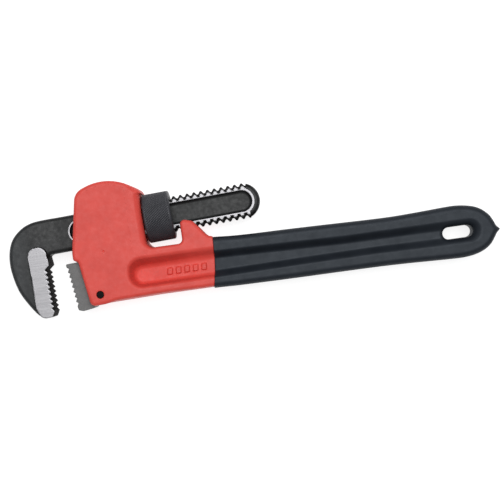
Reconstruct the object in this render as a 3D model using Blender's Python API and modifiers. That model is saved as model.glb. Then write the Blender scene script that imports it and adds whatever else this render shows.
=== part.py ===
"""Pipe wrench of the 350 mm (14 inch) class, lying on its side.

X runs along the handle with the jaws at -X, Y across the wrench with the adjusting nut at +Y,
and Z through its thickness. Every length below is in millimetres, in the wrench's own frame,
whose z = 0 is the plane half way through the thickness.
"""

import math

import bmesh
import bpy
from mathutils import Matrix, Vector

MM = 0.001
GAP = 0.3  # clearance between pieces that touch
THROUGH = 20.0  # half the height of a tool that cuts right through the thickness

# Where the wrench's own frame stands: the middle of its bounding box is over the origin.
PLACE = (-2.751, -15.538, 16.0)

# Housing and handle, one casting
SIDE_HALF = 16.0  # half the thickness of the housing
HANDLE_HALF = 10.5  # half the width of the handle's flanges, grip included, near the housing
HANDLE_END_HALF = 9.5
WEB_HALF = 5.5  # half the thickness of the handle's web, grip included
HEAD_CORNERS = [
    (-104.5, -21.6, 3.5), (-108.9, 7.2, 1.5), (-111.9, 9.0, 1.8), (-111.9, 13.5, 3.0),
    (-105.3, 51.3, 9.0), (-84.2, 59.8, 32.0), (-64.85, 48.2, 4.0), (-63.5, 45.4, 0.5),
    (-65.05, 44.6, 1.0), (-65.15, 36.0, 0.0), (-64.5, 10.2, 4.5), (-41.8, 10.2, 3.0),
    (-41.85, 25.9, 2.8), (-33.8, 23.5, 3.5), (-25.4, 12.7, 5.0), (-16.0, 10.8, 12.0),
    (-4.0, 10.5, 0.0), (-4.0, -20.2, 0.0), (-60.0, -20.2, 100.0), (-90.0, -21.0, 60.0),
]
PLAN_TAPER = (-62.0, -12.0)  # where the casting narrows from housing to handle
PLAN_ENDS = (-120.0, -9.0)  # the housing's plan outline, drawn past its front and to the handle
EDGE_ROUND = 1.4

# Handle outline, grip included
GRIP_START = -24.0
BEAM_CORNERS = [
    (-34.0, 10.7, 0.0), (4.0, 10.35, 60.0), (92.0, 8.4, 90.0), (134.5, 10.35, 16.0),
    (149.0, 7.2, 12.0), (156.8, -1.5, 12.0), (160.3, -8.6, 2.8), (156.9, -14.5, 12.0),
    (151.0, -20.5, 12.0), (137.5, -24.1, 16.0), (92.0, -22.2, 90.0), (-10.0, -21.5, 60.0),
    (-34.0, -20.6, 0.0),
]
RECESS_CORNERS = [(-77.6, -13.4, 7.0), (118.0, -14.2, 8.0), (118.0, 2.4, 8.0), (-77.6, 3.8, 7.0)]
SLOT_CENTRE = (133.6, -7.2)
SLOT_LENGTH = 19.2
SLOT_RADIUS = 4.0
COAT = 2.0  # thickness of the dipped grip
TIP_START = 14.0  # how far before its end the handle begins to narrow
TIP_CHAMFER = 4.0
TENON = 8.0  # how far the handle's core reaches into the housing

# Shank axis: through the middle of the nut, tilted against the handle
NUT_CENTRE = (-55.3, 29.4)
SHANK_TILT = math.radians(2.58)
PITCH = 4.45
CREST_RADIUS = 11.5
ROOT_RADIUS = 9.8
FLAT_HALF = 5.8  # half the distance between the shank's two flats
FIRST_CREST = 11.5  # a crest on the +Y side, along the shank from the middle of the nut
THREAD_ENDS = (-24.0, 56.0)
SHANK_END = 54.7  # centre of the shank's round end
POCKET_ENDS = (-49.8, 54.0)
POCKET_RADIUS = 6.8
POCKET_DEPTH = 2.2
NECK_HALF = 11.35  # half the width of the plain stretch between hook and thread
NECK_START = -61.0
TAIL_RADIUS = 11.4
TAIL_SHOULDER = 10.9

# Hook jaw, along and across the shank from the middle of the nut
WEB_OF_HOOK_HALF = 7.6
JAW_HALF = 9.8  # half the width of the teeth
TOOTH_PITCH = 3.11
TOOTH_DEPTH = 1.25
HOOK_TIP_LINE = -75.8
HOOK_TEETH = 9
HOOK_FIRST_TOOTH = -22.5
HOOK_BACK = [
    (-60.0, 11.4), (-76.0, 11.4), (-84.4, 9.9), (-90.9, 6.2), (-95.6, 1.0), (-98.5, -7.0),
    (-99.1, -17.0), (-96.8, -30.0), (-92.2, -40.0), (-86.5, -48.3), (-82.6, -50.7),
]
HOOK_MOUTH = [
    (-79.6, -50.0, 1.5), (-79.2, -21.0, 1.5), (-75.0, -17.4, 1.5), (-73.5, -11.3, 3.5),
    (-60.0, -11.3, 0.0),
]
BLOCK_TOP = [(-74.6, -5.4, 5.5), (-74.3, -12.0, 0.0), (-74.1, -18.6, 0.0)]
BLOCK_TIP_AND_BACK = [(-77.7, -50.8, 0.8), (-84.4, -50.8, 4.3), (-86.5, -44.0, 0.0), (-86.2, -5.4, 5.5)]
HOOK_PLAN = [(-110.0, WEB_OF_HOOK_HALF + 1), (-73.0, WEB_OF_HOOK_HALF + 1), (-68.0, FLAT_HALF),
             (-59.0, FLAT_HALF)]  # half the thickness along the hook, down to the shank's flats

# Housing cavity and nut
CAVITY_HALF = 7.0
CAVITY_RADIUS = 13.6
CAVITY_ENDS = (-70.0, 48.0)
NUT_RADIUS = 15.75
NUT_LENGTH = 17.8
NUT_CHAMFER = 1.5
THREAD_CLEARANCE = 0.35

# Heel jaw and its pin
HEEL_HALF = 9.8
HEEL_PITCH = 3.2
HEEL_TEETH = 8
HEEL_TOP = (-117.4, 5.2)  # the first tooth's tip
HEEL_LEAN = 0.135  # how far the line of teeth leans, along X for each unit down Y
HEEL_FOOT = [(-102.5, -21.6, 1.0), (-93.2, -18.6, 1.0), (-92.4, 1.5, 1.0), (-101.0, 6.9, 1.0)]
HEEL_PIN = (-97.7, -14.9)
HEEL_PIN_RADIUS = 2.25
HEEL_TOE = [(-113.4, -22.9, 0.6), (-110.4, -23.9, 1.5), (-103.5, -22.9, 1.0)]
HEEL_SHOULDER = (-109.0, 7.6, 0.5)
PIN_RECESS = 0.6  # how far the heel pin's ends lie below the housing's sides

# Springs under the shank, inside the housing
SPRING_PIN = (-91.9, 12.2)
SPRING_PIN_RADIUS = 1.2
SPRING_EYE_SLACK = 1.6
LEAF_HALF_WIDTH = 3.0
LEAF_THICKNESS = 0.8
COIL_X = -76.5
COIL_RADIUS = 3.3
COIL_WIRE_RADIUS = 0.6
COIL_ENDS = (6.4, 14.4)
COIL_TURNS = 5
LEAF_PATH = [(-86.5, 15.2), (-80.0, 15.75), (-74.0, 15.9), (-71.0, 15.2)]
SPRING_TROUGH = [
    (-96.0, 7.8, 2.0), (-86.0, 9.8, 0.0), (-81.6, 9.8, 0.0), (-81.6, 5.8, 0.5), (-71.4, 5.8, 0.5),
    (-71.4, 10.5, 0.0), (-68.5, 11.5, 0.0), (-68.5, 19.0, 0.0), (-96.0, 19.0, 0.0),
]
TROUGH_HALF = 4.6


def clear_scene():
    for item in list(bpy.data.objects):
        bpy.data.objects.remove(item)


def make_collection(name):
    found = bpy.data.collections.new(name)
    bpy.context.scene.collection.children.link(found)
    return found


def make_material(name, colour, roughness, metallic):
    material = bpy.data.materials.new(name)
    material.use_nodes = True
    shader = material.node_tree.nodes["Principled BSDF"]
    shader.inputs["Base Color"].default_value = (*colour, 1.0)
    shader.inputs["Roughness"].default_value = roughness
    shader.inputs["Metallic"].default_value = metallic
    return material


# Outlines, as lists of (x, y)


def rounded(corners, step=18.0):
    """The outline through (x, y, radius) corners, each rounded by an arc of that radius."""
    points = []
    for index, (x, y, radius) in enumerate(corners):
        corner = Vector((x, y))
        before = (Vector(corners[index - 1][:2]) - corner).normalized()
        after = (Vector(corners[(index + 1) % len(corners)][:2]) - corner).normalized()
        half = before.angle(after) / 2
        if radius == 0.0:
            points.append((x, y))
            continue
        centre = corner + (before + after).normalized() * (radius / math.sin(half))
        first = corner + before * (radius / math.tan(half)) - centre
        turn = first.angle_signed(corner + after * (radius / math.tan(half)) - centre)
        steps = max(2, math.ceil(abs(math.degrees(turn)) / step))
        for part in range(steps + 1):
            spoke = Matrix.Rotation(-turn * part / steps, 2) @ first
            points.append((centre.x + spoke.x, centre.y + spoke.y))
    return points


def smooth(points, steps=3):
    """A Catmull-Rom curve through the points."""
    path = [Vector(point) for point in points]
    path = [2 * path[0] - path[1], *path, 2 * path[-1] - path[-2]]
    result = []
    for a, b, c, d in zip(path, path[1:], path[2:], path[3:]):
        for part in range(steps):
            t = part / steps
            place = 0.5 * (
                2 * b + (c - a) * t + (2 * a - 5 * b + 4 * c - d) * t**2
                + (3 * b - a - 3 * c + d) * t**3
            )
            result.append(tuple(place))
    result.append(tuple(path[-2]))
    return result


def inset(points, distance):
    """The outline, moved inwards by a distance, or outwards by a negative one."""
    turning = sum(a[0] * b[1] - b[0] * a[1] for a, b in zip(points, points[1:] + points[:1]))
    side = distance if turning > 0 else -distance
    result = []
    for index, point in enumerate(points):
        before = (Vector(point) - Vector(points[index - 1])).normalized()
        after = (Vector(points[(index + 1) % len(points)]) - Vector(point)).normalized()
        along = (before + after).normalized()
        reach = side / max(0.5, along.dot(after))
        result.append((point[0] - along.y * reach, point[1] + along.x * reach))
    return result


def stadium(start, end, y, radius, steps=10):
    """A slot's outline: two half circles joined by straight sides."""
    points = []
    for part in range(steps + 1):
        angle = -math.pi / 2 + math.pi * part / steps
        points.append((end + radius * math.cos(angle), y + radius * math.sin(angle)))
    for part in range(steps + 1):
        angle = math.pi / 2 + math.pi * part / steps
        points.append((start + radius * math.cos(angle), y + radius * math.sin(angle)))
    return points


# Solids, each returned as an object in the cutters' collection until it is kept


def add_object(name, mesh):
    item = bpy.data.objects.new(name, mesh)
    cutters.objects.link(item)
    item.hide_render = True
    item.display_type = "WIRE"
    return item


def slab(name, points, low=-THROUGH, high=THROUGH):
    """A plate with this outline in XY, between two heights."""
    curve = bpy.data.curves.new(name, "CURVE")
    curve.dimensions = "2D"
    curve.fill_mode = "BOTH"
    curve.extrude = (high - low) / 2 * MM
    spline = curve.splines.new("POLY")
    spline.points.add(len(points) - 1)
    spline.use_cyclic_u = True
    for place, (x, y) in zip(spline.points, points):
        place.co = (x * MM, y * MM, 0.0, 1.0)
    guide = add_object(name, curve)
    bpy.context.view_layer.update()
    evaluated = guide.evaluated_get(bpy.context.evaluated_depsgraph_get())
    mesh = bpy.data.meshes.new_from_object(evaluated)
    bpy.data.objects.remove(guide)
    tidy = bmesh.new()
    tidy.from_mesh(mesh)
    bmesh.ops.remove_doubles(tidy, verts=tidy.verts, dist=0.001 * MM)
    bmesh.ops.dissolve_limit(tidy, angle_limit=0.001, verts=tidy.verts, edges=tidy.edges)
    bmesh.ops.recalc_face_normals(tidy, faces=tidy.faces)
    bmesh.ops.translate(tidy, verts=tidy.verts, vec=(0, 0, (low + high) / 2 * MM))
    tidy.to_mesh(mesh)
    tidy.free()
    return add_object(name, mesh)


def plan_slab(name, edge):
    """A plate in XZ, symmetrical about z = 0, through the (x, half thickness) points of one edge."""
    outline = edge + [(x, -half) for x, half in reversed(edge)]
    item = slab(name, outline, -70.0, 70.0)
    item.data.transform(Matrix.Rotation(math.pi / 2, 4, "X"))
    return item


def pockets(target, name, outline, floor):
    """Cuts the same outline into both sides, down to a distance from the middle plane."""
    boolean(target, slab(f"{name} upper", outline, floor, THROUGH))
    boolean(target, slab(f"{name} lower", outline, -THROUGH, -floor))


def pin_hole(name, place, radius):
    """A tool for a round hole right through the thickness."""
    return cylinder(name, (*place, -THROUGH), (*place, THROUGH), radius, 20)


def cylinder(name, start, end, radius, segments):
    """A round bar between two points."""
    start, end = Vector(start) * MM, Vector(end) * MM
    mesh = bpy.data.meshes.new(name)
    build = bmesh.new()
    bmesh.ops.create_cone(
        build, cap_ends=True, segments=segments, radius1=radius * MM, radius2=radius * MM,
        depth=(end - start).length,
    )
    turn = Vector((0, 0, 1)).rotation_difference(end - start).to_matrix().to_4x4()
    build.transform(Matrix.Translation((start + end) / 2) @ turn)
    build.to_mesh(mesh)
    build.free()
    return add_object(name, mesh)


def threaded_rod(name, ends, crest, root, segments, flat_half=None):
    """A right-hand threaded rod along X, cut square at its ends and, if asked, on two flats.

    Its rings are sheared along the axis by one pitch in a turn, so that they follow the helix.
    """
    profile = [(0.0, crest), (0.12, crest), (0.44, root), (0.56, root), (0.88, crest)]
    first = math.floor((ends[0] - FIRST_CREST) / PITCH) - 2
    turns = math.ceil((ends[1] - ends[0]) / PITCH) + 4
    size = len(profile)
    build = bmesh.new()
    columns = []
    for segment in range(segments):
        angle = 2 * math.pi * segment / segments
        column = []
        for row in range(turns * size):
            part, radius = profile[row % size]
            along = FIRST_CREST + PITCH * (first + row // size + part + segment / segments)
            place = (along, radius * math.cos(angle), radius * math.sin(angle))
            column.append(build.verts.new(Vector(place) * MM))
        columns.append(column)
    for segment in range(segments):
        here = columns[segment]
        there = columns[(segment + 1) % segments]
        lead = size if segment == segments - 1 else 0
        for row in range(turns * size - 1 - lead):
            corners = (here[row], here[row + 1], there[row + 1 + lead], there[row + lead])
            build.faces.new(corners)
    cuts = [((ends[0], 0, 0), (-1, 0, 0)), ((ends[1], 0, 0), (1, 0, 0))]
    if flat_half:
        cuts += [((0, 0, flat_half), (0, 0, 1)), ((0, 0, -flat_half), (0, 0, -1))]
    for place, normal in cuts:
        everything = build.verts[:] + build.edges[:] + build.faces[:]
        cut = bmesh.ops.bisect_plane(
            build, geom=everything, plane_co=Vector(place) * MM, plane_no=normal,
            clear_outer=True, dist=1e-7,
        )
        rim = [part for part in cut["geom_cut"] if isinstance(part, bmesh.types.BMEdge)]
        bmesh.ops.edgeloop_fill(build, edges=rim)
    bmesh.ops.recalc_face_normals(build, faces=build.faces)
    mesh = bpy.data.meshes.new(name)
    build.to_mesh(mesh)
    build.free()
    return add_object(name, mesh)


def boolean(target, tool, operation="DIFFERENCE"):
    change = target.modifiers.new(f"{operation.lower()} {tool.name}", "BOOLEAN")
    change.operation = operation
    change.object = tool


def round_edges(item, width, segments=2, angle=30.0):
    bevel = item.modifiers.new("round edges", "BEVEL")
    bevel.width = width * MM
    bevel.segments = segments
    bevel.use_clamp_overlap = False
    bevel.limit_method = "ANGLE"
    bevel.angle_limit = math.radians(angle)


def place_with_tools(item, parent):
    """Parents a solid, the tools that cut it, and the tools that cut those."""
    item.parent = parent
    for modifier in item.modifiers:
        if modifier.type == "BOOLEAN":
            place_with_tools(modifier.object, parent)


def keep(item, parent, material):
    """Turns a helper into one of the wrench's pieces."""
    cutters.objects.unlink(item)
    parts.objects.link(item)
    item.hide_render = False
    item.display_type = "TEXTURED"
    item.data.materials.clear()
    item.data.materials.append(material)
    item.data.shade_smooth()
    item.data.set_sharp_from_angle(angle=math.radians(35))
    place_with_tools(item, parent)
    return item


# Pieces


def handle_beam(name, coat, start):
    """The I-section handle with its hanging slot, coat millimetres inside the grip's surface."""
    beam = slab(name, inset(rounded(BEAM_CORNERS), coat))
    far = HANDLE_END_HALF - coat
    end = max(corner[0] for corner in BEAM_CORNERS)
    edge = [(start, HANDLE_HALF - coat), (end - TIP_START, far), (end - 1, far - TIP_CHAMFER)]
    boolean(beam, plan_slab(f"{name} plan", edge), "INTERSECT")
    pockets(beam, f"{name} recess", inset(rounded(RECESS_CORNERS), -coat), WEB_HALF - coat)
    x, y = SLOT_CENTRE
    reach = SLOT_LENGTH / 2 - SLOT_RADIUS
    boolean(beam, slab(f"{name} slot", stadium(x - reach, x + reach, y, SLOT_RADIUS + coat)))
    return beam


def make_frame():
    """The housing with its forked horn, and the core of the handle inside the grip."""
    head = slab("handle_frame", rounded(HEAD_CORNERS), -SIDE_HALF, SIDE_HALF)
    round_edges(head, EDGE_ROUND)
    edge = [(PLAN_ENDS[0], SIDE_HALF + 1), (PLAN_TAPER[0], SIDE_HALF + 0.01), (PLAN_TAPER[1], HANDLE_HALF),
            (PLAN_ENDS[1], HANDLE_HALF)]
    boolean(head, plan_slab("frame plan", edge), "INTERSECT")
    pockets(head, "housing recess", rounded(RECESS_CORNERS), WEB_HALF)
    boolean(head, slab("coated stretch", [(GRIP_START, -40), (40, -40), (40, 40), (GRIP_START, 40)]))
    boolean(head, handle_beam("handle_core", COAT, GRIP_START - TENON), "UNION")
    boolean(head, shank_channel())
    boolean(head, spring_pocket())
    boolean(head, heel_seat())
    boolean(head, pin_hole("heel pin hole", HEEL_PIN, HEEL_PIN_RADIUS + GAP))
    boolean(head, pin_hole("spring pin hole", SPRING_PIN, SPRING_PIN_RADIUS + GAP))
    return keep(head, wrench, red_enamel)


def shank_channel():
    """The passage for the shank through the housing and the fork, along the shank's axis."""
    start, end = CAVITY_ENDS
    outline = [(start, -CAVITY_RADIUS), (end, -CAVITY_RADIUS), (end, CAVITY_RADIUS), (start, CAVITY_RADIUS)]
    channel = slab("shank channel", outline, -CAVITY_HALF, CAVITY_HALF)
    channel.data.transform(shank_matrix())
    return channel


def spring_pocket():
    """The trough for the flat spring below the shank, with the coil spring's bore."""
    return slab("spring pocket", rounded(SPRING_TROUGH), -TROUGH_HALF, TROUGH_HALF)


def heel_line(y, offset=0.0):
    """X of the line through the heel jaw's tooth tips, at a height across the wrench."""
    return HEEL_TOP[0] + (HEEL_TOP[1] - y) * HEEL_LEAN + offset


def heel_outline():
    """The heel jaw's outline: teeth towards the mouth, and a foot that sits in the housing."""
    corners = [(heel_line(8.0, 0.5), 7.2, 0.5), (heel_line(6.6), 6.0, 0.0)]
    for tooth in range(HEEL_TEETH):
        tip = HEEL_TOP[1] - HEEL_PITCH * tooth
        corners.append((heel_line(tip), tip, 0.0))
        corners.append((heel_line(tip - 0.9, TOOTH_DEPTH), tip - 0.9, 0.0))
    corners.append((heel_line(-20.6), -20.6, 0.0))
    return rounded(corners + HEEL_TOE + HEEL_FOOT + [HEEL_SHOULDER])


def heel_seat():
    """The slot in the housing that the heel jaw slides into, open at its front and below."""
    foot = rounded([(-118.0, -24.0, 0.0), *HEEL_FOOT, (-108.8, 7.6, 0.0), (-118.0, 7.6, 0.0)])
    return slab("heel seat", inset(foot, -GAP), -HEEL_HALF - GAP, HEEL_HALF + GAP)


def make_heel_jaw():
    jaw = slab("heel_jaw", heel_outline(), -HEEL_HALF, HEEL_HALF)
    boolean(jaw, pin_hole("heel jaw hole", HEEL_PIN, HEEL_PIN_RADIUS + GAP))
    return keep(jaw, wrench, cast_steel)


def make_heel_pin():
    reach = SIDE_HALF - PIN_RECESS
    pin = cylinder("heel_jaw_pin", (*HEEL_PIN, -reach), (*HEEL_PIN, reach), HEEL_PIN_RADIUS, 20)
    return keep(pin, wrench, dark_steel)


def make_grip():
    """The dipped coat over the handle: its outer shape less the casting's core."""
    grip = handle_beam("dipped_grip", 0.0, GRIP_START + GAP)
    boolean(grip, handle_beam("grip inside", COAT - GAP, GRIP_START - 10))
    return keep(grip, wrench, blue_vinyl)


def shank_matrix():
    """From the shank's frame, at the middle of the nut, to the wrench's frame."""
    place = Matrix.Translation(Vector((*NUT_CENTRE, 0)) * MM)
    return place @ Matrix.Rotation(SHANK_TILT, 4, "Z")


def hook_teeth_outline():
    """The jaw's full-width block: nine teeth on the mouth side, a round top and a round tip."""
    corners = list(BLOCK_TOP)
    for tooth in range(HOOK_TEETH):
        tip = HOOK_FIRST_TOOTH - TOOTH_PITCH * tooth
        corners.append((HOOK_TIP_LINE - TOOTH_DEPTH, tip + TOOTH_PITCH * 0.72, 0.0))
        corners.append((HOOK_TIP_LINE, tip, 0.0))
    return rounded(corners + BLOCK_TIP_AND_BACK)


def make_hook_jaw():
    """The forged hook, its full-width tooth block and the flattened, threaded shank."""
    back = smooth(HOOK_BACK)
    mouth = rounded([(*HOOK_BACK[-1], 0.0), *HOOK_MOUTH, (*HOOK_BACK[0], 0.0)])
    jaw = slab("hook_jaw", back + mouth[1:-1], -WEB_OF_HOOK_HALF, WEB_OF_HOOK_HALF)
    boolean(jaw, plan_slab("hook plan", HOOK_PLAN), "INTERSECT")
    boolean(jaw, slab("tooth block", hook_teeth_outline(), -JAW_HALF, JAW_HALF), "UNION")
    first, last = THREAD_ENDS[0] + 1, THREAD_ENDS[1] - 1
    neck = [(NECK_START, -NECK_HALF), (first, -NECK_HALF), (first, NECK_HALF), (NECK_START, NECK_HALF)]
    boolean(jaw, slab("neck", neck, -FLAT_HALF + 0.02, FLAT_HALF - 0.02), "UNION")
    rod = threaded_rod("thread", THREAD_ENDS, CREST_RADIUS, ROOT_RADIUS, 36, FLAT_HALF)
    boolean(jaw, rod, "UNION")
    tail = [(x, y) for x, y in stadium(SHANK_END, SHANK_END, 0, TAIL_RADIUS, 12) if x > last]
    tail += [(last, TAIL_SHOULDER), (last, -TAIL_SHOULDER)]
    boolean(jaw, slab("round end", tail, -FLAT_HALF + 0.03, FLAT_HALF - 0.03), "UNION")
    pockets(jaw, "pocket", stadium(*POCKET_ENDS, 0, POCKET_RADIUS), FLAT_HALF - POCKET_DEPTH)
    return keep(jaw, shank_axis, forged_steel)


def make_nut():
    """The knurled adjusting nut, with the internal thread that runs on the shank."""
    half = NUT_LENGTH / 2
    barrel = cylinder("adjusting_nut", (-half, 0, 0), (half, 0, 0), NUT_RADIUS, 40)
    round_edges(barrel, NUT_CHAMFER, angle=50.0)
    crest = CREST_RADIUS + THREAD_CLEARANCE
    root = ROOT_RADIUS + THREAD_CLEARANCE
    boolean(barrel, threaded_rod("nut thread", (-half - 2, half + 2), crest, root, 28))
    return keep(barrel, shank_axis, black_oxide)


def make_flat_spring():
    """A leaf bearing on the shank, its front end curled loosely round the spring pin."""
    x, y = SPRING_PIN
    eye = SPRING_PIN_RADIUS + SPRING_EYE_SLACK
    path = []
    for part in range(8):
        angle = math.radians(-60 - 210 * part / 7)
        path.append((x + eye * math.cos(angle), y + eye * math.sin(angle)))
    path = [point for point in path if point[1] < y + eye - 0.05]
    path += [(x + 1.5, y + eye - 0.3), *LEAF_PATH]
    lower = []
    upper = []
    for index, point in enumerate(path):
        before = Vector(path[max(0, index - 1)])
        after = Vector(path[min(len(path) - 1, index + 1)])
        along = (after - before).normalized() * (LEAF_THICKNESS / 2)
        upper.append((point[0] - along.y, point[1] + along.x))
        lower.append((point[0] + along.y, point[1] - along.x))
    leaf = slab("flat_spring", upper + lower[::-1], -LEAF_HALF_WIDTH, LEAF_HALF_WIDTH)
    return keep(leaf, wrench, spring_steel)


def make_coil_spring():
    """A compression spring standing in the housing under the flat spring, its axis along Y."""
    curve = bpy.data.curves.new("coil_spring", "CURVE")
    curve.dimensions = "3D"
    curve.bevel_depth = COIL_WIRE_RADIUS * MM
    curve.bevel_resolution = 1
    curve.use_fill_caps = True
    spline = curve.splines.new("POLY")
    steps = COIL_TURNS * 12
    spline.points.add(steps)
    for part in range(steps + 1):
        angle = 2 * math.pi * part / 12
        y = COIL_ENDS[0] + (COIL_ENDS[1] - COIL_ENDS[0]) * part / steps
        place = (COIL_X + COIL_RADIUS * math.cos(angle), y, COIL_RADIUS * math.sin(angle))
        spline.points[part].co = (*(Vector(place) * MM), 1.0)
    coil = bpy.data.objects.new("coil_spring", curve)
    parts.objects.link(coil)
    coil.parent = wrench
    curve.materials.append(spring_steel)
    return coil


def make_spring_pin():
    length = SIDE_HALF - 0.4
    pin = cylinder("spring_pin", (*SPRING_PIN, -length), (*SPRING_PIN, length), SPRING_PIN_RADIUS, 16)
    return keep(pin, wrench, red_enamel)


clear_scene()
parts = make_collection("Pipe wrench")
cutters = make_collection("Cutters")
cutters.hide_render = True

red_enamel = make_material("red enamel on cast iron", (0.70, 0.09, 0.08), 0.38, 0.0)
blue_vinyl = make_material("blue-black dipped vinyl", (0.033, 0.041, 0.052), 0.45, 0.0)
forged_steel = make_material("dark forged steel", (0.060, 0.065, 0.070), 0.50, 0.7)
black_oxide = make_material("black oxide steel", (0.045, 0.045, 0.048), 0.45, 0.7)
cast_steel = make_material("grey cast steel", (0.21, 0.21, 0.21), 0.55, 0.5)
dark_steel = make_material("dark steel", (0.03, 0.03, 0.03), 0.50, 0.7)
spring_steel = make_material("spring steel", (0.25, 0.25, 0.27), 0.35, 0.9)

wrench = bpy.data.objects.new("wrench", None)
wrench.location = Vector(PLACE) * MM
shank_axis = bpy.data.objects.new("shank_axis", None)
shank_axis.parent = wrench
shank_axis.location = Vector((*NUT_CENTRE, 0)) * MM
shank_axis.rotation_euler = (0, 0, SHANK_TILT)
for empty in (wrench, shank_axis):
    parts.objects.link(empty)

make_frame()
make_grip()
make_hook_jaw()
make_nut()
make_heel_jaw()
make_heel_pin()
make_flat_spring()
make_coil_spring()
make_spring_pin()
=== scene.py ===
"""The looks of the pipe wrench: its fine surfaces and materials, with a floor, lights and a camera.

Shapes are written in millimetres in the wrench's own frame: X along the handle, Y across it, and
Z from the plane half way through its thickness. Each cast or forged surface is a signed distance
field, negative inside, that is turned into a mesh with sharp creases kept.
"""

import math

import bpy
import numpy as np
from mathutils import Matrix, Vector


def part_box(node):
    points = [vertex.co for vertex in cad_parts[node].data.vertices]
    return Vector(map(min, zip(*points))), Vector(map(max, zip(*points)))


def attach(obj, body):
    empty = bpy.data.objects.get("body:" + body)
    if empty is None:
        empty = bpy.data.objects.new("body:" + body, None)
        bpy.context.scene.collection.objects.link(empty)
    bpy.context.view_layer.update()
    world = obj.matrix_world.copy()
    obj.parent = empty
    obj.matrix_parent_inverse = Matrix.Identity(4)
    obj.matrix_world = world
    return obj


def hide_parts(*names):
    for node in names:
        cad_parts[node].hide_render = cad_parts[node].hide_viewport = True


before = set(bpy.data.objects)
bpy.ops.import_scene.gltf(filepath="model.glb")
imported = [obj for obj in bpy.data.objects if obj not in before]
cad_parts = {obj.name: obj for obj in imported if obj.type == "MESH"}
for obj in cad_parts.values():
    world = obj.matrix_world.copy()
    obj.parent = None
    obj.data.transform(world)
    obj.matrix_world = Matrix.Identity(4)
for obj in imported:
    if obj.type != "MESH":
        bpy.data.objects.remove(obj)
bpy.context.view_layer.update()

MM = 0.001
COARSE = 1.0

# Shank axis, as in the CAD model
NUT_CENTRE = (-55.3, 29.4)
SHANK_TILT = math.radians(2.58)
PITCH = 4.45
CREST_RADIUS = 11.5
ROOT_RADIUS = 9.7
FIRST_CREST = 11.5
THREAD_ENDS = (-24.0, 58.8)
FLAT_HALF = 5.8

# Housing and handle
SIDE_HALF = 16.0
HANDLE_HALF = 10.5
HANDLE_END_HALF = 9.5
WEB_HALF = 5.5
HEAD_CORNERS = [
    (-104.5, -21.6, 3.5), (-108.9, 7.2, 1.5), (-111.9, 9.0, 1.8), (-111.9, 13.5, 3.0),
    (-105.3, 51.3, 9.0), (-84.2, 59.8, 32.0), (-64.85, 48.2, 4.0), (-63.5, 45.4, 0.5),
    (-65.05, 44.6, 1.0), (-65.15, 36.0, 0.0), (-64.5, 10.2, 4.8), (-41.8, 10.2, 3.0),
    (-41.85, 25.9, 2.8), (-33.8, 23.5, 3.5), (-25.4, 12.7, 5.0), (-16.0, 10.8, 12.0),
    (-4.0, 10.5, 0.0), (-4.0, -20.4, 0.0), (-60.0, -20.4, 100.0), (-90.0, -21.1, 60.0),
]
BEAM_OUTLINE_POINTS = [
    (-34.0, 12.0), (-22.0, 11.6), (-10.0, 10.75), (4.0, 10.3), (22.0, 10.05), (40.0, 9.7), (60.0, 9.2),
    (78.0, 8.75), (92.0, 8.6), (104.0, 8.9), (116.0, 9.4), (127.0, 9.9), (134.0, 9.95), (140.0, 9.25),
    (145.5, 7.9), (149.5, 6.0), (152.6, 3.6), (155.2, 0.7), (157.2, -3.1), (158.4, -6.1), (159.8, -7.7),
    (160.5, -8.6), (159.9, -9.5), (158.3, -11.1), (156.6, -13.6), (154.0, -17.1), (150.6, -19.8),
    (146.4, -21.8), (141.0, -23.2), (134.5, -23.8), (126.0, -23.65), (112.0, -23.1), (96.0, -22.5),
    (78.0, -22.1), (54.0, -21.95), (28.0, -21.85), (4.0, -21.6), (-10.0, -21.4), (-22.0, -21.0),
    (-34.0, -20.7),
]
SLOT_CENTRE = (133.7, -7.2)
SLOT_HALF_LENGTH = 5.8
SLOT_RADIUS = 3.9
HEAD_END = -12.5  # where the casting's core stops inside the grip
UNDER_GRIP = 1.9  # how far the casting is stepped in below the dipped coat
DRAFT = 0.085  # slope of the lower flank towards the parting line
CHANNEL_HALF = 13.6  # half the height of the shank's channel
CHANNEL_DEPTH = 7.0
CHANNEL_END = 48.0  # along the shank from the nut's middle
SPRING_BORE_X = -76.5
SPRING_BORE_RADIUS = 4.6
MARK_PITCH = 5.5
MARK_MIDDLE = -41.6
MARK_RISE = 1.1

# Jaws, the hook jaw's in the shank's frame
HOOK_BACK = [
    (-45.0, 11.4), (-60.0, 11.4), (-76.0, 11.4), (-84.4, 9.9), (-90.9, 6.2), (-95.6, 1.0), (-98.5, -7.0),
    (-99.1, -17.0), (-96.8, -30.0), (-92.2, -40.0), (-86.7, -48.3), (-82.6, -50.9),
]
JAW_HALF = 9.8
TOOTH_PITCH = 3.11
HOOK_TIP_LINE = -75.75
HEEL_HALF = 9.8
HEEL_FOOT = [(-102.5, -21.6, 1.0), (-93.2, -18.6, 1.0), (-92.4, 1.5, 1.0), (-101.0, 6.9, 1.0)]
HEEL_PIN = (-97.7, -14.9)
SPRING_PIN = (-91.9, 12.2)
POCKET_ENDS = (-50.7, 54.2)
POCKET_FLOOR_HALF = 3.4  # half the steel left between the shank's two pockets
HEEL_TEETH = 8
HEEL_PITCH = 3.2
HOOK_TEETH = 9


def middle(node):
    """The middle of a CAD node's box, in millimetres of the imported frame."""
    low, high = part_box(node)
    return [(a + b) / 2 / MM for a, b in zip(low, high)]


# The wrench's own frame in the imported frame: the nut's middle is known in both.
NUT_IN_FRAME = middle("adjusting_nut")
PLACE = (NUT_IN_FRAME[0] - NUT_CENTRE[0], NUT_IN_FRAME[1] - NUT_CENTRE[1], NUT_IN_FRAME[2])
TO_WRENCH = Matrix.Translation(Vector(PLACE) * MM)
TO_SHANK = TO_WRENCH @ Matrix.Translation(Vector((*NUT_CENTRE, 0)) * MM) @ Matrix.Rotation(SHANK_TILT, 4, "Z")


# Outlines


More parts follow.
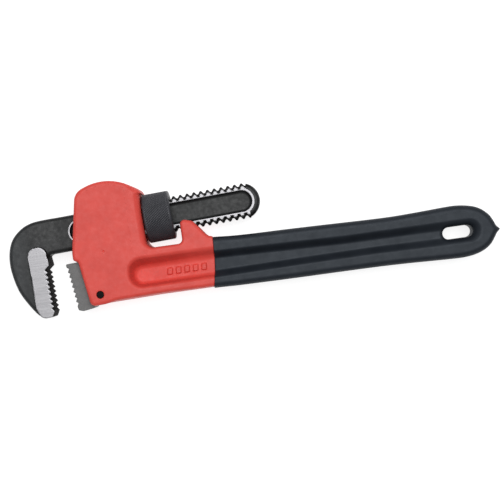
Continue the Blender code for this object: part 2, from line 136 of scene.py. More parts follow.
def rounded(corners, step=6.0):
    """The outline through (x, y, radius) corners, each rounded by an arc of that radius."""
    points = []
    for index, (x, y, radius) in enumerate(corners):
        corner = Vector((x, y))
        if radius == 0.0:
            points.append((x, y))
            continue
        before = (Vector(corners[index - 1][:2]) - corner).normalized()
        after = (Vector(corners[(index + 1) % len(corners)][:2]) - corner).normalized()
        half = before.angle(after) / 2
        centre = corner + (before + after).normalized() * (radius / math.sin(half))
        first = corner + before * (radius / math.tan(half)) - centre
        turn = first.angle_signed(corner + after * (radius / math.tan(half)) - centre)
        steps = max(2, math.ceil(abs(math.degrees(turn)) / step))
        for part in range(steps + 1):
            spoke = Matrix.Rotation(-turn * part / steps, 2) @ first
            points.append((centre.x + spoke.x, centre.y + spoke.y))
    return points


def smooth(points, steps=4):
    """A Catmull-Rom curve through the points."""
    path = [Vector(point) for point in points]
    path = [2 * path[0] - path[1], *path, 2 * path[-1] - path[-2]]
    result = []
    for a, b, c, d in zip(path, path[1:], path[2:], path[3:]):
        for part in range(steps):
            t = part / steps
            place = 0.5 * (
                2 * b + (c - a) * t + (2 * a - 5 * b + 4 * c - d) * t**2
                + (3 * b - a - 3 * c + d) * t**3
            )
            result.append(tuple(place))
    result.append(tuple(path[-2]))
    return result


# Distance fields: each takes coordinate arrays that broadcast together


def polygon(x, y, corners):
    """Signed distance to a closed outline."""
    x, y = np.broadcast_arrays(x, y)
    nearest = np.full(x.shape, 1e9)
    inside = np.zeros(x.shape, bool)
    for (ax, ay), (bx, by) in zip(corners, corners[1:] + corners[:1]):
        ex, ey = bx - ax, by - ay
        wx, wy = x - ax, y - ay
        t = np.clip((wx * ex + wy * ey) / (ex * ex + ey * ey), 0.0, 1.0)
        nearest = np.minimum(nearest, (wx - ex * t) ** 2 + (wy - ey * t) ** 2)
        if ay != by:
            crosses = (ay > y) != (by > y)
            inside ^= crosses & (wx < ex * wy / ey)
    return np.where(inside, -1.0, 1.0) * np.sqrt(nearest)


def meet(a, b, radius):
    """What two shapes share, with the edge between them rounded."""
    corner = np.hypot(np.maximum(a + radius, 0.0), np.maximum(b + radius, 0.0))
    return np.minimum(np.maximum(a, b), -radius) + corner


def join(a, b, radius):
    """Two shapes together, with a fillet between them."""
    return -meet(-a, -b, radius)


def cut(a, b, radius):
    """The first shape without the second, with the new edge rounded."""
    return meet(a, -b, radius)


def ramp(value, start, end):
    """0 before start, 1 after end and a smooth rise between."""
    t = np.clip((value - start) / (end - start), 0.0, 1.0)
    return t * t * (3.0 - 2.0 * t)


def stadium(x, y, start, end, centre_y, radius):
    """Distance to a slot that lies along X."""
    return np.hypot(x - np.clip(x, start, end), y - centre_y) - radius


def box_field(x, y, left, right, low, high, radius):
    """Distance to a rectangle with round corners."""
    middle_x, middle_y = (left + right) / 2, (low + high) / 2
    across = np.abs(x - middle_x) - (right - left) / 2 + radius
    up = np.abs(y - middle_y) - (high - low) / 2 + radius
    outside = np.hypot(np.maximum(across, 0.0), np.maximum(up, 0.0))
    return outside + np.minimum(np.maximum(across, up), 0.0) - radius


# Fields to meshes


def crossings(field, axis, values, axes, step):
    """Where the surface crosses the grid's edges along one axis: cells, points and normals."""
    low = [slice(None)] * 3
    high = [slice(None)] * 3
    low[axis] = slice(None, -1)
    high[axis] = slice(1, None)
    inside = values < 0
    found = np.argwhere(inside[tuple(low)] != inside[tuple(high)])
    start = np.stack([axes[part][found[:, part]] for part in range(3)], axis=1)
    first = values[tuple(low)][tuple(found.T)]
    rising = first < 0
    near, far = np.zeros(len(found)), np.full(len(found), step)
    near_value = first.copy()
    far_value = values[tuple(high)][tuple(found.T)]
    for turn in range(4):
        share = near_value / (near_value - far_value)
        reach = near + (far - near) * (share if turn % 2 == 0 else 0.5 * share + 0.25)
        point = start.copy()
        point[:, axis] += reach
        value = field(*point.T)
        same = (value < 0) == rising
        near, near_value = np.where(same, reach, near), np.where(same, value, near_value)
        far, far_value = np.where(same, far, reach), np.where(same, far_value, value)
    share = near_value / (near_value - far_value)
    point = start.copy()
    point[:, axis] += near + (far - near) * share
    small = step * 0.02
    normal = np.empty_like(point)
    for part in range(3):
        ahead, behind = point.copy(), point.copy()
        ahead[:, part] += small
        behind[:, part] -= small
        normal[:, part] = field(*ahead.T) - field(*behind.T)
    normal /= np.maximum(np.linalg.norm(normal, axis=1, keepdims=True), 1e-12)
    return found, point, normal, rising


def contour(field, low, high, step):
    """The surface where a field is zero, as points and four-sided faces, by dual contouring."""
    step *= COARSE
    axes = [np.arange(a, b + step, step) for a, b in zip(low, high)]
    size = [len(axis) for axis in axes]
    values = field(axes[0][:, None, None], axes[1][None, :, None], axes[2][None, None, :])
    values = np.ascontiguousarray(np.broadcast_to(values, size))
    strides = np.array([size[1] * size[2], size[2], 1])
    cells, points, normals, faces = [], [], [], []
    for axis in range(3):
        found, point, normal, rising = crossings(field, axis, values, axes, step)
        one, two = (axis + 1) % 3, (axis + 2) % 3
        base = found @ strides
        ring = [base - strides[one] - strides[two], base - strides[two], base, base - strides[one]]
        ring = np.stack(ring, axis=1)
        faces.append(np.where(rising[:, None], ring, ring[:, ::-1]))
        cells.append(ring.reshape(-1))
        points.append(np.repeat(point, 4, axis=0))
        normals.append(np.repeat(normal, 4, axis=0))
    cells, faces = np.concatenate(cells), np.concatenate(faces)
    points, normals = np.concatenate(points), np.concatenate(normals)
    used, place = np.unique(cells, return_inverse=True)
    count = len(used)
    shares = np.bincount(place, minlength=count)
    mean = np.stack([np.bincount(place, points[:, i], count) for i in range(3)], axis=1) / shares[:, None]
    offset = np.einsum("ij,ij->i", normals, points - mean[place])
    square = np.empty((count, 3, 3))
    for i in range(3):
        for j in range(3):
            square[:, i, j] = np.bincount(place, normals[:, i] * normals[:, j], count)
    target = np.stack([np.bincount(place, normals[:, i] * offset, count) for i in range(3)], axis=1)
    strength, direction = np.linalg.eigh(square)
    kept = strength > 0.08 * strength[:, -1:]
    inverse = np.where(kept, 1.0 / np.where(kept, strength, 1.0), 0.0)
    shift = np.einsum("nij,nj,nkj,nk->ni", direction, inverse, direction, target)
    corner = np.stack([axes[i][(used // strides[i]) % size[i]] for i in range(3)], axis=1)
    vertices = np.clip(mean + shift, corner, corner + step)
    return vertices, np.searchsorted(used, faces)


def make_object(name, vertices, faces, matrix, material):
    """A smooth-shaded object from arrays in millimetres; matrix places them in the frame."""
    mesh = bpy.data.meshes.new(name)
    corners = faces.shape[1]
    mesh.vertices.add(len(vertices))
    mesh.vertices.foreach_set("co", (vertices * MM).astype(np.float32).ravel())
    mesh.loops.add(faces.size)
    mesh.loops.foreach_set("vertex_index", faces.astype(np.int32).ravel())
    mesh.polygons.add(len(faces))
    mesh.polygons.foreach_set("loop_start", np.arange(len(faces), dtype=np.int32) * corners)
    mesh.update(calc_edges=True)
    mesh.validate()
    mesh.transform(matrix)
    mesh.shade_smooth()
    mesh.set_sharp_from_angle(angle=math.radians(38))
    mesh.materials.append(material)
    piece = bpy.data.objects.new(name, mesh)
    bpy.context.scene.collection.objects.link(piece)
    return piece


def paint(piece, matrix, material, chosen):
    """Gives another material to the faces that chosen(centre, normal) picks in the piece's own frame."""
    mesh = piece.data
    centre = np.empty(len(mesh.polygons) * 3, np.float32)
    normal = np.empty(len(mesh.polygons) * 3, np.float32)
    mesh.polygons.foreach_get("center", centre)
    mesh.polygons.foreach_get("normal", normal)
    back = np.array(matrix.inverted())
    centre = (centre.reshape(-1, 3) @ back[:3, :3].T + back[:3, 3]) / MM
    normal = normal.reshape(-1, 3) @ back[:3, :3].T
    mesh.materials.append(material)
    index = len(mesh.materials) - 1
    old = np.empty(len(mesh.polygons), np.int32)
    mesh.polygons.foreach_get("material_index", old)
    mesh.polygons.foreach_set("material_index", np.where(chosen(centre, normal), index, old).astype(np.int32))


def settle(piece, body, slot, *nodes):
    """Attaches the piece to the body it rides on and hides the CAD nodes it stands for; the slot argument,
    for its finish, is not used.
    """
    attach(piece, body)
    if nodes:
        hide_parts(*nodes)


# Materials


class Nodes:
    """A short way to write a material's node tree."""

    def __init__(self, name, colour, roughness, metallic=0.0, **inputs):
        self.material = bpy.data.materials.new(name)
        self.material.use_nodes = True
        self.tree = self.material.node_tree
        self.shader = self.tree.nodes["Principled BSDF"]
        self.shader.inputs["Base Color"].default_value = (*colour, 1.0)
        self.shader.inputs["Roughness"].default_value = roughness
        self.shader.inputs["Metallic"].default_value = metallic
        for key, value in inputs.items():
            self.shader.inputs[key.replace("_", " ")].default_value = value
        self.place = self.add("ShaderNodeTexCoord").outputs["Object"]

    def add(self, kind, **settings):
        node = self.tree.nodes.new(kind)
        for key, value in settings.items():
            setattr(node, key, value)
        return node

    def link(self, source, target):
        self.tree.links.new(source, target)

    def stretched(self, scale):
        node = self.add("ShaderNodeMapping")
        node.inputs["Scale"].default_value = scale
        self.link(self.place, node.inputs["Vector"])
        return node.outputs["Vector"]

    def noise(self, size_mm, detail=3.0, stretch=None, roughness=0.55):
        """Noise whose features are about size_mm across."""
        node = self.add("ShaderNodeTexNoise")
        node.inputs["Scale"].default_value = 1000.0 / size_mm
        node.inputs["Detail"].default_value = detail
        node.inputs["Roughness"].default_value = roughness
        self.link(self.stretched(stretch) if stretch else self.place, node.inputs["Vector"])
        return node.outputs["Fac"]

    def spread(self, value, low, high, to_low=0.0, to_high=1.0):
        node = self.add("ShaderNodeMapRange")
        for key, number in (("From Min", low), ("From Max", high), ("To Min", to_low), ("To Max", to_high)):
            node.inputs[key].default_value = number
        self.link(value, node.inputs["Value"])
        return node.outputs["Result"]

    def blend(self, factor, one, two):
        node = self.add("ShaderNodeMix", data_type="RGBA")
        for key, colour in ((6, one), (7, two)):
            if isinstance(colour, tuple):
                node.inputs[key].default_value = (*colour, 1.0)
            else:
                self.link(colour, node.inputs[key])
        self.link(factor, node.inputs[0])
        return node.outputs[2]

    def colour(self, source):
        self.link(source, self.shader.inputs["Base Color"])

    def roughness(self, source):
        self.link(source, self.shader.inputs["Roughness"])

    def bump(self, heights):
        """Stacks (height, distance in mm, strength) bumps."""
        last = None
        for height, distance, strength in heights:
            node = self.add("ShaderNodeBump")
            node.inputs["Distance"].default_value = distance * MM
            node.inputs["Strength"].default_value = strength
            self.link(height, node.inputs["Height"])
            if last:
                self.link(last, node.inputs["Normal"])
            last = node.outputs["Normal"]
        self.link(last, self.shader.inputs["Normal"])
        return self.material


def red_enamel():
    """Sprayed enamel over a sand casting: a slightly grainy coat with a soft gloss."""
    nodes = Nodes("red enamel", (0.66, 0.07, 0.06), 0.5, Coat_Weight=0.05, Coat_Roughness=0.3,
                  Specular_IOR_Level=0.3)
    patches = nodes.spread(nodes.noise(9.0, 5.0), 0.35, 0.65)
    nodes.colour(nodes.blend(patches, (0.63, 0.060, 0.046), (0.70, 0.073, 0.057)))
    nodes.roughness(nodes.spread(nodes.noise(3.0), 0.3, 0.7, 0.44, 0.60))
    return nodes.bump([(nodes.noise(4.0, 3.0), 0.5, 0.3), (nodes.noise(0.9, 3.0), 0.14, 0.6)])


def blue_vinyl():
    """Dipped vinyl: blue-black, satin, with a faint mottle and slow runs."""
    nodes = Nodes("blue-black dipped vinyl", (0.007, 0.009, 0.014), 0.54, Specular_IOR_Level=0.38,
                  Specular_Tint=(0.84, 0.92, 1.0, 1.0))
    patches = nodes.spread(nodes.noise(9.0, 3.0), 0.35, 0.65)
    nodes.colour(nodes.blend(patches, (0.008, 0.0105, 0.015), (0.0115, 0.0145, 0.020)))
    nodes.roughness(nodes.spread(nodes.noise(4.0), 0.3, 0.7, 0.50, 0.58))
    return nodes.bump([(nodes.noise(16.0, 1.0, (0.35, 1.0, 1.0)), 0.9, 0.2), (nodes.noise(0.7), 0.05, 0.35)])


def forged_steel():
    """A heat-treated forging: dark scale with fine pitting."""
    nodes = Nodes("dark forged steel", (0.03, 0.032, 0.034), 0.55, 0.15, Specular_IOR_Level=0.35)
    patches = nodes.spread(nodes.noise(7.0, 4.0), 0.3, 0.7)
    scale = nodes.blend(patches, (0.025, 0.027, 0.029), (0.035, 0.038, 0.040))
    oiled = nodes.blend(patches, (0.011, 0.012, 0.0125), (0.0165, 0.0175, 0.018))
    along = nodes.add("ShaderNodeSeparateXYZ")
    nodes.link(nodes.place, along.inputs["Vector"])
    nodes.colour(nodes.blend(nodes.spread(along.outputs["X"], -0.149, -0.139), scale, oiled))
    nodes.roughness(nodes.spread(nodes.noise(2.5), 0.3, 0.7, 0.40, 0.58))
    return nodes.bump([(nodes.noise(1.1, 4.0), 0.12, 0.45), (nodes.noise(6.0, 2.0), 0.3, 0.2)])


def ground_steel():
    """Bright steel off a belt grinder: fine lines along X."""
    nodes = Nodes("bright ground steel", (0.2, 0.2, 0.21), 0.4, 0.85)
    lines = nodes.noise(0.45, 4.0, (0.02, 1.0, 1.0))
    nodes.colour(nodes.blend(nodes.spread(lines, 0.35, 0.65), (0.232, 0.229, 0.240), (0.350, 0.347, 0.360)))
    nodes.roughness(nodes.spread(lines, 0.3, 0.7, 0.36, 0.5))
    return nodes.bump([(lines, 0.03, 0.5)])


def black_oxide():
    """Black oxide with a faint blue-grey mottle."""
    nodes = Nodes("black oxide steel", (0.02, 0.02, 0.022), 0.42, 0.15, Specular_IOR_Level=0.35)
    patches = nodes.spread(nodes.noise(6.0, 4.0), 0.35, 0.7)
    nodes.colour(nodes.blend(patches, (0.034, 0.035, 0.041), (0.050, 0.050, 0.058)))
    nodes.roughness(nodes.spread(nodes.noise(1.5), 0.3, 0.7, 0.34, 0.50))
    return nodes.bump([(nodes.noise(0.6), 0.05, 0.4)])


def grey_steel():
    """The heel jaw: plain grey steel, sand blasted."""
    nodes = Nodes("grey blasted steel", (0.13, 0.13, 0.13), 0.55, 0.25)
    grain = nodes.noise(0.6, 4.0)
    nodes.colour(nodes.blend(nodes.spread(grain, 0.35, 0.65), (0.11, 0.11, 0.11), (0.15, 0.15, 0.15)))
    nodes.roughness(nodes.spread(nodes.noise(3.0), 0.3, 0.7, 0.50, 0.62))
    return nodes.bump([(grain, 0.06, 0.5)])


def dark_steel():
    """Pin ends and cut teeth: nearly black and matt."""
    nodes = Nodes("dark steel", (0.008, 0.008, 0.008), 0.8, Specular_IOR_Level=0.08)
    nodes.colour(nodes.blend(nodes.noise(1.5), (0.006, 0.006, 0.006), (0.014, 0.013, 0.012)))
    return nodes.bump([(nodes.noise(0.5), 0.04, 0.5)])


def spring_steel():
    """Bright spring steel with fine lines along Z."""
    nodes = Nodes("spring steel", (0.32, 0.32, 0.34), 0.3, 0.95)
    lines = nodes.noise(0.4, 3.0, (1.0, 1.0, 0.1))
    nodes.colour(nodes.blend(lines, (0.24, 0.24, 0.26), (0.42, 0.41, 0.42)))
    return nodes.bump([(lines, 0.02, 0.4)])


# Housing


def taper(x):
    """Half the casting's thickness along the wrench."""
    handle = HANDLE_HALF + (HANDLE_END_HALF - HANDLE_HALF) * np.clip((x + 20.0) / 160.0, 0.0, 1.0)
    return handle + (SIDE_HALF - handle) * (1.0 - ramp(x, -64.0, -16.0))


def beam_recess(x, y, z, half):
    """The hollow in each side of the handle, with sloping walls; it runs out before the slot."""
    depth = np.abs(z)
    web = WEB_HALF + (half - WEB_HALF) * ramp(x, 78.0, 124.0)
    level = np.clip((depth - web) / np.maximum(half - web, 0.5), 0.0, 1.3)
    upper = -0.6 + 5.1 * level
    lower = -11.9 - 1.9 * level
    left = -75.0 - 3.1 * level
    outline = box_field(x, y, left, 150.0, lower, upper, 5.4 + 2.6 * level)
    return meet(outline, web - depth, 2.2)


def through_points(value, points):
    """The height at a place on the straight stretches between (place, height) points."""
    return np.interp(value, *zip(*points))


def grip_hollow(x, y):
    """How far the grip's side is sunk, 0 to 1: a soft trough that ends round the hanging slot."""
    upper = through_points(x, [(-20.0, 0.3), (0.0, -0.2), (20.0, -0.8), (60.0, -1.9), (150.0, -2.2)])
    lower = through_points(x, [(-20.0, -12.0), (40.0, -11.4), (80.0, -11.3), (115.0, -11.9), (150.0, -12.1)])
    wall = through_points(x, [(-20.0, 2.7), (100.0, 2.9), (135.0, 3.3)])
    middle_y, half = (upper + lower) / 2, (upper - lower) / 2
    outline = stadium(x, y - middle_y, -200.0, 145.8 - 5.0, 0.0, half)
    return 1.0 - ramp(outline, -wall, wall)


def raised_marks(x, y):
    """Distance to five plain round-cornered marks in a row, which mean nothing."""
    number = np.clip(np.round((x - MARK_MIDDLE) / MARK_PITCH), -2, 2)
    lean = x - MARK_MIDDLE - number * MARK_PITCH - 0.12 * (y + 6.5)
    return box_field(lean, y, -2.1, 2.1, -8.9, -3.7, 1.2)


HEAD_OUTLINE = rounded(HEAD_CORNERS)
HEEL_SEAT = rounded([(-122.0, -26.0, 0.0), (-102.3, -22.0, 1.0), (-92.9, -18.9, 1.3), (-92.0, 1.7, 1.3),
                     (-101.0, 7.3, 1.0), (-108.8, 7.9, 0.0), (-122.0, 7.9, 0.0)])


def housing_field(x, y, z):
    """The casting: its outline with draft and rounded edges, less the hollows that hold the parts."""
    depth = np.abs(z)
    under_grip = UNDER_GRIP * ramp(x - dip_line(y), -0.4, 0.7)
    outline = polygon(x, y, HEAD_OUTLINE) + under_grip
    outline = outline + DRAFT * depth * ramp(-y, 12.0, 17.0) * ramp(x, -97.0, -86.0)
    towards_nut = ramp(x, -74.0, -67.0) * ramp(y, 8.0, 16.0) * (x < -60.0)
    half = taper(x) - under_grip - 0.5 * towards_nut
    body = meet(outline, depth - half, 2.2 + 2.4 * towards_nut)
    body = np.maximum(body, x - HEAD_END)
    body = cut(body, beam_recess(x, y, z, half) - under_grip, 1.6)
    marks = raised_marks(x, y)
    rise = MARK_RISE * (1.0 - ramp(marks, -MARK_RISE, 0.0))
    body = np.minimum(body, np.maximum(marks, depth - WEB_HALF - rise))
    along = (x - NUT_CENTRE[0]) * math.cos(SHANK_TILT) + (y - NUT_CENTRE[1]) * math.sin(SHANK_TILT)
    across = (y - NUT_CENTRE[1]) * math.cos(SHANK_TILT) - (x - NUT_CENTRE[0]) * math.sin(SHANK_TILT)
    channel = meet(np.abs(across) - CHANNEL_HALF, depth - CHANNEL_DEPTH, 1.0)
    channel = np.maximum(channel, along - CHANNEL_END)
    body = cut(body, channel, 1.0)
    trough = np.maximum(box_field(x, y, -96.0, -68.5, 8.0, 19.0, 1.5), depth - SPRING_BORE_RADIUS)
    bore = np.hypot(x - SPRING_BORE_X, z) - SPRING_BORE_RADIUS
    bore = np.maximum(bore, np.abs(y - 9.9) - 4.1)
    body = np.maximum(body, -np.minimum(trough, bore))
    seat = np.maximum(polygon(x, y, HEEL_SEAT), depth - HEEL_HALF - 0.3)
    body = cut(body, seat, 0.4)
    heel_hole = np.hypot(x - HEEL_PIN[0], y - HEEL_PIN[1]) - 2.45
    body = cut(body, heel_hole, 0.5)
    to_spring_pin = np.hypot(x - SPRING_PIN[0], y - SPRING_PIN[1])
    body = np.maximum(body, -np.maximum(to_spring_pin - 1.3, depth - 15.2))
    return cut(body, np.hypot(to_spring_pin, depth - 16.2) - 0.7, 0.2)


def make_housing(material):
    vertices, faces = contour(housing_field, (-113.4, -22.6, -17.1), (-11.0, 58.4, 17.1), 0.56)
    piece = make_object("housing", vertices, faces, TO_WRENCH, material)
    settle(piece, "frame", "red_enamel", "handle_frame")


# Grip

BEAM_OUTLINE = smooth(BEAM_OUTLINE_POINTS)


def dip_line(y):
    """Where the dipped coat begins, along X."""
    return -22.6 - 0.0032 * (y - 11.0) ** 2


def grip_field(x, y, z):
    """The dipped coat: sunk sides, a soft edge, the hanging slot, and room inside for the casting."""
    depth = np.abs(z)
    outline = polygon(x, y, BEAM_OUTLINE)
    half = taper(x)
    sunk = grip_hollow(x, y) * (half - through_points(x, [(90.0, WEB_HALF + 0.1), (150.0, WEB_HALF + 1.1)]))
    body = meet(outline, depth - half + sunk, 4.0)
    hole = stadium(x, y, SLOT_CENTRE[0] - SLOT_HALF_LENGTH, SLOT_CENTRE[0] + SLOT_HALF_LENGTH,
                   SLOT_CENTRE[1], SLOT_RADIUS)
    body = cut(body, hole, 2.6)
    body = meet(body, dip_line(y) - x, 0.5)
    inner = meet(outline + 1.9, depth - half + 1.8, 2.5)
    inner = cut(inner, beam_recess(x, y, z, half) - 1.75, 1.6)
    return np.maximum(body, -np.maximum(inner, x + 12.0))


def make_grip(material):
    vertices, faces = contour(grip_field, (-27.8, -25.0, -12.4), (161.4, 12.9, 12.4), 0.62)
    piece = make_object("dipped_handle_grip", vertices, faces, TO_WRENCH, material)
    settle(piece, "frame", "blue_vinyl", "dipped_grip")


# Hook jaw, in the shank's frame


def hook_teeth():
    """The full-width block's outline: nine teeth on the mouth side, a round top and a round tip."""
    corners = [(-74.6, -5.4, 5.5), (-74.4, -12.0, 0.0), (-73.9, -17.8, 0.3)]
    for tooth in range(HOOK_TEETH):
        tip = -22.5 - TOOTH_PITCH * tooth
        corners.append((HOOK_TIP_LINE - 1.5, tip + TOOTH_PITCH * 0.66, 0.12))
        corners.append((HOOK_TIP_LINE, tip + 0.15, 0.0))
        corners.append((HOOK_TIP_LINE - 0.1, tip - 0.15, 0.0))
    corners += [(-77.7, -50.9, 0.8), (-84.5, -50.9, 4.3), (-86.7, -44.0, 0.0), (-86.2, -5.4, 5.5)]
    return rounded(corners, 12.0)


HOOK_MOUTH = [
    (-79.6, -50.2, 1.5), (-79.2, -21.0, 1.5), (-75.0, -17.4, 1.5), (-73.5, -11.3, 3.5), (-45.0, -11.4, 0.0),
]
HOOK_OUTLINE = smooth(HOOK_BACK) + rounded([(*HOOK_BACK[-1], 0.0), *HOOK_MOUTH, (*HOOK_BACK[0], 0.0)])[1:-1]
TOOTH_OUTLINE = hook_teeth()


def thread_radius(x, y, z):
    """The radius of the thread's surface at a place round and along the shank."""
    turn = np.arctan2(z, y) / (2 * np.pi)
    phase = (x - FIRST_CREST) / PITCH - turn
    from_root = np.abs(phase - np.floor(phase) - 0.5) * 2.0
    return ROOT_RADIUS + (CREST_RADIUS - ROOT_RADIUS) * ramp(from_root, 0.10, 0.92)


def hook_field(x, y, z):
    """The forging: hook and tooth block, then the threaded shank with its ground rim and pockets."""
    depth = np.abs(z)
    web_half = 5.5 + 2.3 * (1.0 - ramp(x, -84.0, -64.0))
    web = meet(polygon(x, y, HOOK_OUTLINE), depth - web_half, 2.8)
    block = meet(polygon(x, y, TOOTH_OUTLINE), depth - JAW_HALF, 0.35)
    body = join(web, block, 0.8)
    end = stadium(x, y, -52.0, 54.7, 0.0, 11.5)
    bar = meet(end, depth - 5.5, 2.8)
    ring_radius = 7.9 + 0.5 * ramp(x, 52.0, 58.0)
    ring = np.maximum(stadium(x, y, *POCKET_ENDS, 0.0, ring_radius), depth - FLAT_HALF)
    thread = np.maximum(np.hypot(y, z) - thread_radius(x, y, z), depth - FLAT_HALF)
    thread = np.maximum(thread, end - 0.4)
    threaded = np.maximum(THREAD_ENDS[0] - x, x - THREAD_ENDS[1])
    shank = np.where(threaded < 0, np.maximum(thread, threaded), bar)
    body = np.minimum(body, np.minimum(shank, ring))
    level = np.clip((depth - POCKET_FLOOR_HALF) / 2.4, 0.0, 1.3)
    pocket = meet(stadium(x, y, *POCKET_ENDS, 0.0, 6.1 + 0.9 * level), POCKET_FLOOR_HALF - depth, 1.2)
    return cut(body, pocket, 0.15)


def is_ground(centre, normal):
    """The ground faces: the flats and rims of the shank, and the sides of the tooth block."""
    x, y, z = centre.T
    depth = np.abs(z)
    flat = np.abs(normal[:, 2]) > 0.9
    burr = (x < THREAD_ENDS[1]) & (x > THREAD_ENDS[0]) & (np.hypot(y, z) > thread_radius(x, y, z) - 0.65)
    burr &= np.abs(y) > 7.6
    shank = (x > -60.0) & (depth > FLAT_HALF - 0.12) & ~burr
    return flat & (shank | (depth > JAW_HALF - 0.12))


def is_cut(centre, normal):
    """The thread's and the teeth's own faces, left black by the cutting and hardening."""
    x, y, z = centre.T
    steep = np.abs(normal[:, 2]) < 0.88
    thread = (x > THREAD_ENDS[0]) & (np.hypot(y, z) > ROOT_RADIUS - 0.5)
    teeth = (x < HOOK_TIP_LINE + 3.0) & (x > HOOK_TIP_LINE - 2.2) & (y < -11.0)
    return steep & (thread | teeth)


def make_hook(material, bright, black):
    vertices, faces = contour(hook_field, (-100.4, -52.0, -10.6), (67.4, 12.8, 10.6), 0.455)
    piece = make_object("hook_jaw_forging", vertices, faces, TO_SHANK, material)
    paint(piece, TO_SHANK, bright, is_ground)
    paint(piece, TO_SHANK, black, is_cut)
    settle(piece, "jaw", "forged_steel", "hook_jaw")


# Adjusting nut

NUT_RADIUS = 15.75
NUT_HALF = 8.9
NUT_SHOULDER = 1.3  # length of the rounded shoulder at each end
NUT_SHOULDER_DROP = 1.6
NUT_BORE_RADIUS = 10.4
THREAD_GAP = 0.35  # clearance between the nut's thread and the shank's
KNURL_DEPTH = 0.5
KNURL_ANGLE = math.radians(38)
KNURL_COUNT = 64


def knurl(x, angle):
    """Two crossing sets of grooves; 1 on the diamonds' tops and 0 in the grooves."""
    pitch = 2 * np.pi * NUT_RADIUS * math.cos(KNURL_ANGLE) / KNURL_COUNT
    height = 1.0
    for side, depth in ((-1.0, 0.35), (1.0, 1.0)):
        groove = (NUT_RADIUS * angle * math.cos(KNURL_ANGLE) + side * x * math.sin(KNURL_ANGLE)) / pitch
        height = np.minimum(height, 1.0 - depth + depth * np.abs(np.sin(np.pi * groove)) ** 0.8)
    return height


def make_nut(material):
    """The nut as one turned skin: knurled outside, chamfered, with the thread inside."""
    round_steps = int(600 / COARSE)
    angle = np.linspace(0.0, 2 * np.pi, round_steps, endpoint=False)
    outer_x = np.linspace(-NUT_HALF + NUT_SHOULDER, NUT_HALF - NUT_SHOULDER, int(98 / COARSE))
    shoulder = np.linspace(0.0, np.pi / 2, 7)[1:]
    rows = [(x, NUT_RADIUS, 1.0) for x in outer_x]
    curve = [(NUT_HALF - NUT_SHOULDER + NUT_SHOULDER * math.sin(a),
              NUT_RADIUS - NUT_SHOULDER_DROP + NUT_SHOULDER_DROP * math.cos(a), 0.0) for a in shoulder]
    rows += curve
    rows += [(NUT_HALF, 14.0, 0.0), (NUT_HALF, 13.2, 0.0), (NUT_HALF - 0.15, 13.0, 0.0)]
    inner_x = np.linspace(NUT_HALF - 0.2, -NUT_HALF + 0.2, int(46 / COARSE))
    rows += [(x, None, 0.0) for x in inner_x]
    rows += [(-NUT_HALF + 0.15, 13.0, 0.0), (-NUT_HALF, 13.2, 0.0), (-NUT_HALF, 14.0, 0.0)]
    rows += [(-x, radius, knurled) for x, radius, knurled in reversed(curve)]
    points = []
    for x, radius, knurled in rows:
        if radius is None:
            radius = thread_radius(x, np.cos(angle), np.sin(angle)) + THREAD_GAP
            flare = max(0.0, abs(x) - NUT_HALF + 1.6)
            radius = np.maximum(radius, NUT_BORE_RADIUS + flare * 1.3)
        else:
            fade = min(1.0, max(0.0, (NUT_HALF - 1.0 - abs(x)) / 0.8))
            radius = radius - knurled * fade * KNURL_DEPTH * (1.0 - knurl(x, angle))
        ring = [np.full_like(angle, x), radius * np.cos(angle), radius * np.sin(angle)]
        points.append(np.stack(ring, axis=1))
    vertices = np.concatenate(points)
    row, column = np.meshgrid(np.arange(len(rows)), np.arange(round_steps), indexing="ij")
    next_row = (row + 1) % len(rows)
    next_column = (column + 1) % round_steps
    faces = np.stack([row * round_steps + column, row * round_steps + next_column,
                      next_row * round_steps + next_column, next_row * round_steps + column], axis=-1)
    piece = make_object("knurled_nut", vertices, faces.reshape(-1, 4)[:, ::-1], TO_SHANK, material)
    settle(piece, "nut", "black_oxide", "adjusting_nut")


# Heel jaw, pins and springs


def heel_outline():
    """The heel jaw's outline, its teeth on a line that leans back towards the tip."""
    def tip_line(y, offset=0.0):
        return -117.4 + (5.2 - y) * 0.135 + offset

    corners = [(tip_line(8.0, 0.5), 7.2, 0.5), (tip_line(6.6), 6.2, 0.3)]
    for tooth in range(HEEL_TEETH):
        tip = 5.2 - HEEL_PITCH * tooth
        corners.append((tip_line(tip), tip, 0.0))
        corners.append((tip_line(tip - 0.25, 0.05), tip - 0.25, 0.0))
        corners.append((tip_line(tip - 1.1, 1.2), tip - 1.1, 0.15))
    corners.append((tip_line(-20.5), -20.5, 0.3))
    corners += [(-113.4, -22.9, 0.5), (-110.4, -23.9, 1.5), (-103.5, -22.9, 1.0)]
    corners += [*HEEL_FOOT, (-109.0, 7.6, 0.5)]
    return rounded(corners, 15.0)


HEEL_OUTLINE = heel_outline()


def heel_field(x, y, z):
    """The heel jaw, with the hole for its pin."""
    body = meet(polygon(x, y, HEEL_OUTLINE), np.abs(z) - HEEL_HALF, 0.3)
    hole = np.hypot(x - HEEL_PIN[0], y - HEEL_PIN[1]) - 2.35
    return np.maximum(body, -hole)


def make_heel(material):
    vertices, faces = contour(heel_field, (-118.3, -24.8, -10.4), (-91.0, 8.6, 10.4), 0.34)
    piece = make_object("heel_jaw_block", vertices, faces, TO_WRENCH, material)
    settle(piece, "frame", "cast_steel", "heel_jaw")


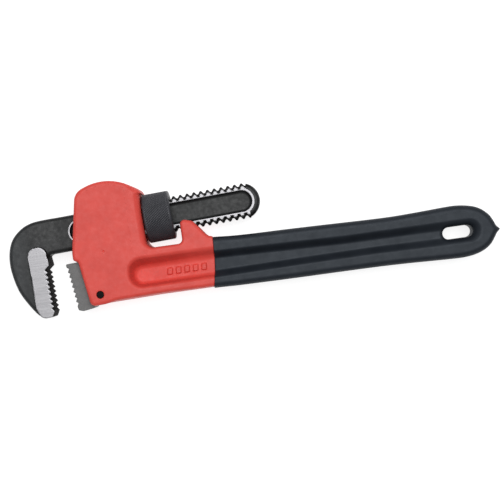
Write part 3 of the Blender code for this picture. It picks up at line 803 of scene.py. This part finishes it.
def make_pin(name, place, radius, half_length, crown, material):
    """A headless pin along Z with crowned ends."""
    steps = 48
    angle = np.linspace(0.0, 2 * np.pi, steps, endpoint=False)
    rise = np.linspace(0.0, np.pi / 2, 9)[:-1]
    rings = [(radius * math.cos(a), half_length - crown + crown * math.sin(a)) for a in rise]
    rings = [(r, -z) for r, z in reversed(rings)] + rings
    rings = [(0.02, -half_length)] + rings + [(0.02, half_length)]
    vertices = [np.stack([place[0] + r * np.cos(angle), place[1] + r * np.sin(angle),
                          np.full_like(angle, z)], axis=1)
                for r, z in rings]
    row, column = np.meshgrid(np.arange(len(rings) - 1), np.arange(steps), indexing="ij")
    after = (column + 1) % steps
    faces = np.stack([row * steps + column, row * steps + after,
                      (row + 1) * steps + after, (row + 1) * steps + column], axis=-1).reshape(-1, 4)
    return make_object(name, np.concatenate(vertices), faces, TO_WRENCH, material)


# Floor, light and camera

FLOOR_REACH = 3.0  # metres

def make_floor():
    floor = bpy.data.meshes.new("floor")
    corners = [(-FLOOR_REACH, -FLOOR_REACH, 0), (FLOOR_REACH, -FLOOR_REACH, 0),
               (FLOOR_REACH, FLOOR_REACH, 0), (-FLOOR_REACH, FLOOR_REACH, 0)]
    floor.from_pydata(corners, [], [(0, 1, 2, 3)])
    piece = bpy.data.objects.new("floor", floor)
    bpy.context.scene.collection.objects.link(piece)
    nodes = Nodes("pale floor", (0.4, 0.4, 0.4), 0.9, Specular_IOR_Level=0.1)
    nodes.shader.inputs["Emission Color"].default_value = (1.0, 1.0, 1.0, 1.0)
    nodes.shader.inputs["Emission Strength"].default_value = 0.8
    nodes.colour(nodes.blend(nodes.noise(60.0), (0.4, 0.4, 0.405), (0.42, 0.42, 0.42)))
    piece.data.materials.append(nodes.material)


def make_light(name, place, size, power):
    light = bpy.data.lights.new(name, "AREA")
    light.shape = "RECTANGLE"
    light.size, light.size_y = size
    light.energy = power
    lamp = bpy.data.objects.new(name, light)
    lamp.location = place
    lamp.rotation_euler = (-Vector(place)).to_track_quat("-Z", "Y").to_euler()
    bpy.context.scene.collection.objects.link(lamp)


def light_scene():
    world = bpy.data.worlds.new("studio")
    world.use_nodes = True
    world.node_tree.nodes["Background"].inputs["Color"].default_value = (1.0, 1.0, 1.0, 1.0)
    world.node_tree.nodes["Background"].inputs["Strength"].default_value = 0.2
    bpy.context.scene.world = world
    make_light("key", (0.1, 0.33, 1.5), (1.3, 1.1), 22.5)


CAMERA_HEIGHT = 700.0
PICTURE_WIDTH = 323.3
PICTURE_TURN = math.radians(-8.0)


def place_camera():
    camera = bpy.data.cameras.new("camera")
    camera.sensor_width = 36.0
    camera.lens = camera.sensor_width * CAMERA_HEIGHT / PICTURE_WIDTH
    camera.clip_start = 0.01
    view = bpy.data.objects.new("camera", camera)
    view.location = TO_WRENCH @ (Vector((0.0, 0.0, CAMERA_HEIGHT)) * MM)
    view.rotation_euler = (0.0, 0.0, PICTURE_TURN)
    bpy.context.scene.collection.objects.link(view)
    bpy.context.scene.camera = view
    bpy.context.scene.view_settings.view_transform = "Standard"


def build():
    red = red_enamel()
    steel = spring_steel()
    dark = dark_steel()
    make_housing(red)
    make_grip(blue_vinyl())
    make_hook(forged_steel(), ground_steel(), dark)
    make_nut(black_oxide())
    make_heel(grey_steel())
    heel_pin = make_pin("heel_pin", HEEL_PIN, 2.25, 15.3, 0.6, dark)
    settle(heel_pin, "frame", "dark_steel", "heel_jaw_pin")
    retaining_pin = make_pin("spring_retaining_pin", SPRING_PIN, 1.2, 15.0, 0.3, dark)
    settle(retaining_pin, "frame", "dark_steel", "spring_pin")
    for node in ("flat_spring", "coil_spring"):
        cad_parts[node].data.materials.clear()
        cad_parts[node].data.materials.append(steel)
    make_floor()
    light_scene()
    place_camera()


build()
